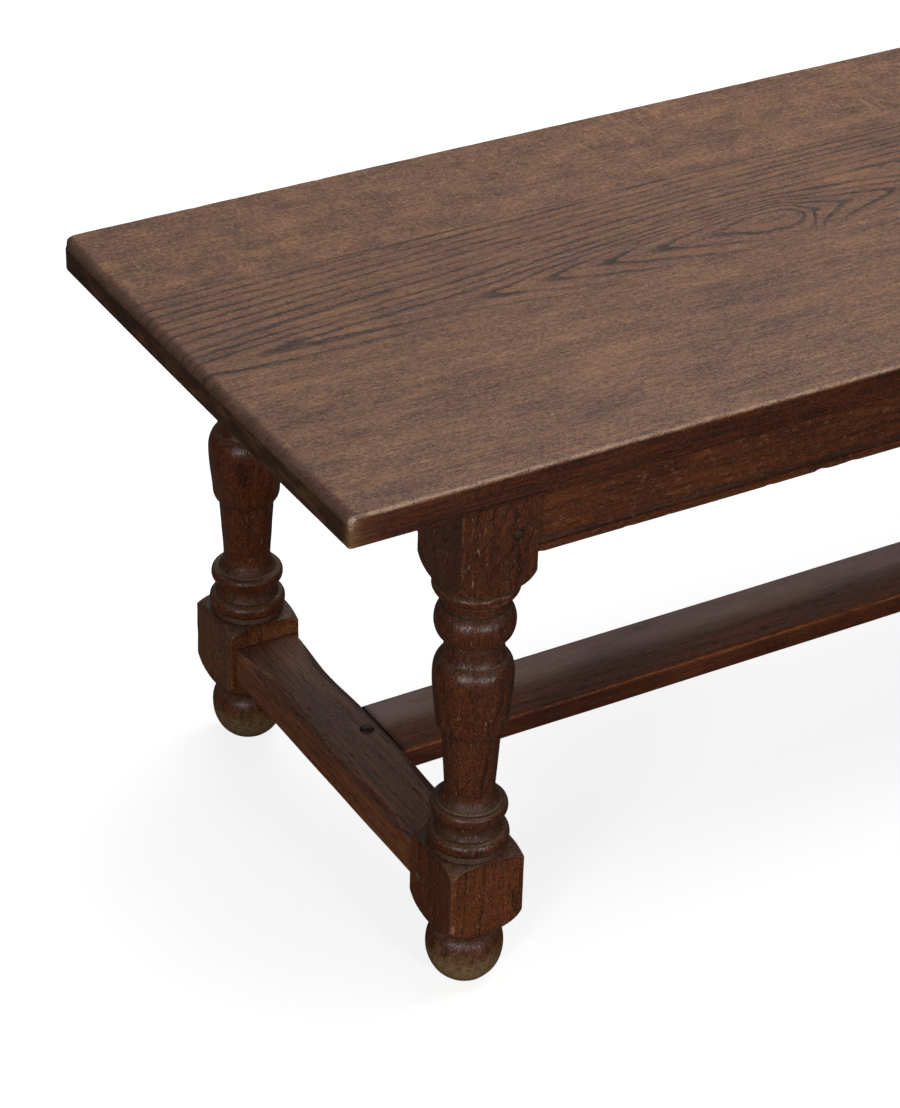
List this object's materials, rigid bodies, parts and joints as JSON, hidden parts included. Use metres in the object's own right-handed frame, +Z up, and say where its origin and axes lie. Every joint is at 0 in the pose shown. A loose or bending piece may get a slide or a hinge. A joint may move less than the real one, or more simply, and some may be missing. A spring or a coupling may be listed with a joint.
{
  "type": "coffee table",
  "caption": "Long low oak coffee table with a boarded top, turned legs on bun feet, moulded aprons and low pegged stretchers.",
  "frame": {"origin": "on the floor under the middle of the top", "axes": "+X along the length to the right, +Y from the front to the rear, +Z up"},
  "size_m": [1.2, 0.487, 0.497],
  "materials": {
    "top_oak": "satin waxed",
    "apron_oak": "satin waxed",
    "leg_oak": "satin waxed",
    "stretcher_oak": "satin waxed, worn",
    "peg_oak": "satin waxed",
    "hidden_oak": "bare",
    "screw_steel": "plain"
  },
  "bodies": {
    "root": {"top_board_rear": "top_oak", "top_board_middle": "top_oak", "top_board_front": "top_oak", "top_tongue_rear": "hidden_oak", "top_tongue_front": "hidden_oak", "button_front_1": "hidden_oak", "button_screw_front_1": "screw_steel", "button_front_2": "hidden_oak", "button_screw_front_2": "screw_steel", "button_rear_1": "hidden_oak", "button_screw_rear_1": "screw_steel", "button_rear_2": "hidden_oak", "button_screw_rear_2": "screw_steel", "button_left": "hidden_oak", "button_screw_left": "screw_steel", "button_right": "hidden_oak", "button_screw_right": "screw_steel", "leg_front_left": "leg_oak", "peg_long_apron_front_left": "peg_oak", "peg_end_apron_front_left": "peg_oak", "peg_cross_stretcher_front_left": "peg_oak", "leg_front_right": "leg_oak", "peg_long_apron_front_right": "peg_oak", "peg_end_apron_front_right": "peg_oak", "peg_cross_stretcher_front_right": "peg_oak", "leg_rear_left": "leg_oak", "peg_long_apron_rear_left": "peg_oak", "peg_end_apron_rear_left": "peg_oak", "peg_cross_stretcher_rear_left": "peg_oak", "leg_rear_right": "leg_oak", "peg_long_apron_rear_right": "peg_oak", "peg_end_apron_rear_right": "peg_oak", "peg_cross_stretcher_rear_right": "peg_oak", "apron_front": "apron_oak", "apron_rear": "apron_oak", "apron_left": "apron_oak", "apron_right": "apron_oak", "cross_stretcher_left": "stretcher_oak", "stretcher_pin_left": "peg_oak", "cross_stretcher_right": "stretcher_oak", "stretcher_pin_right": "peg_oak", "long_stretcher": "stretcher_oak"}
  },
  "joints": []
}
